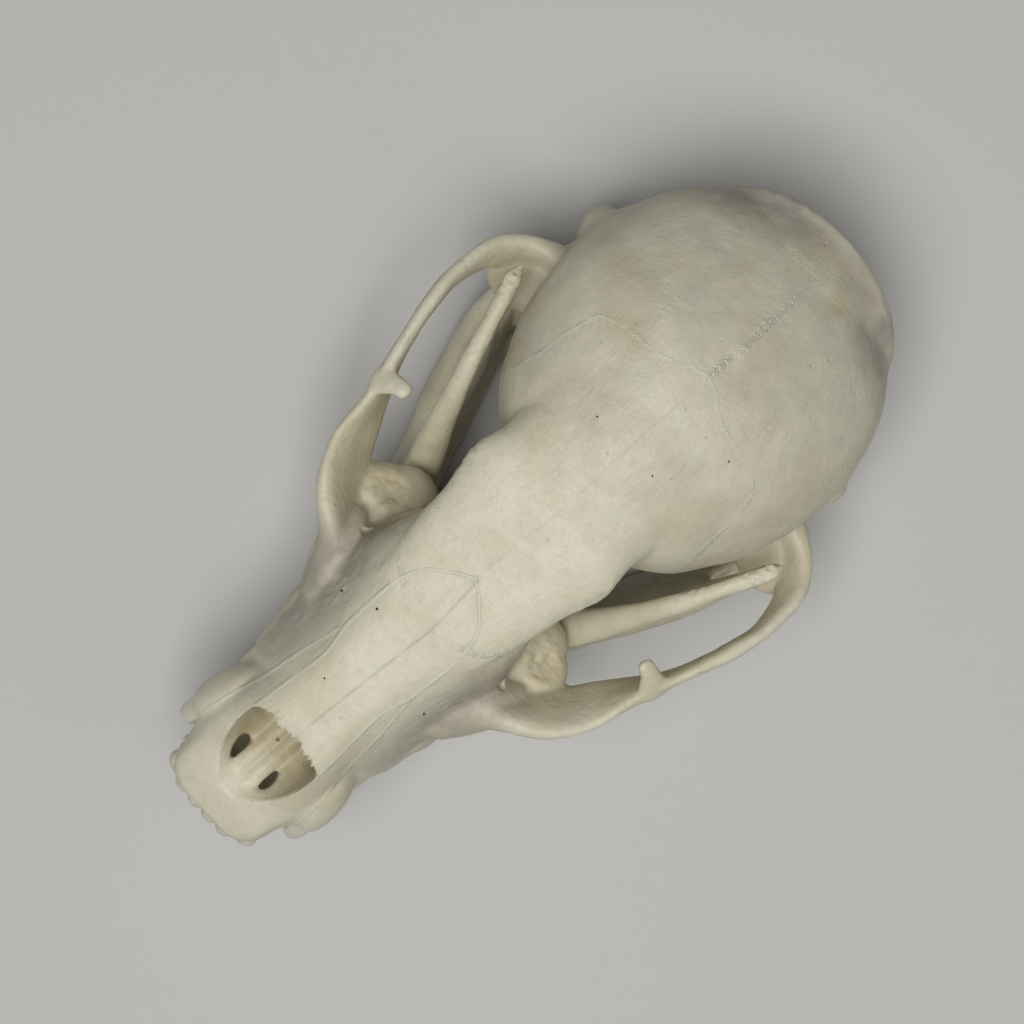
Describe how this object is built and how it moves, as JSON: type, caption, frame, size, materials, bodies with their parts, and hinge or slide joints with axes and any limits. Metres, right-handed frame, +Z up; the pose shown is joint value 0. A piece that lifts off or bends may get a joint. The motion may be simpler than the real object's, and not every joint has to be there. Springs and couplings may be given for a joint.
{
  "type": "raccoon skull",
  "caption": "Life-size raccoon skull with its lower jaw in place, jaws closed, resting as it would lie on a flat surface.",
  "frame": {"origin": "on the surface that the skull rests on, at the middle of the bounding box", "axes": "+X to the animal's left, +Y from the nose to the back of the head, +Z up"},
  "size_m": [0.065, 0.1158, 0.0492],
  "materials": {
    "bone": "dry cleaned bone, satin"
  },
  "bodies": {
    "root": {"braincase": "bone", "frontal_bones": "bone", "nasal_bones": "bone", "upper_jaw": "bone", "occipital_bone": "bone", "cheekbone_left": "bone", "cheekbone_right": "bone", "ear_chamber_left": "bone", "ear_chamber_right": "bone", "jaw_left": "bone", "jaw_right": "bone"}
  },
  "joints": []
}
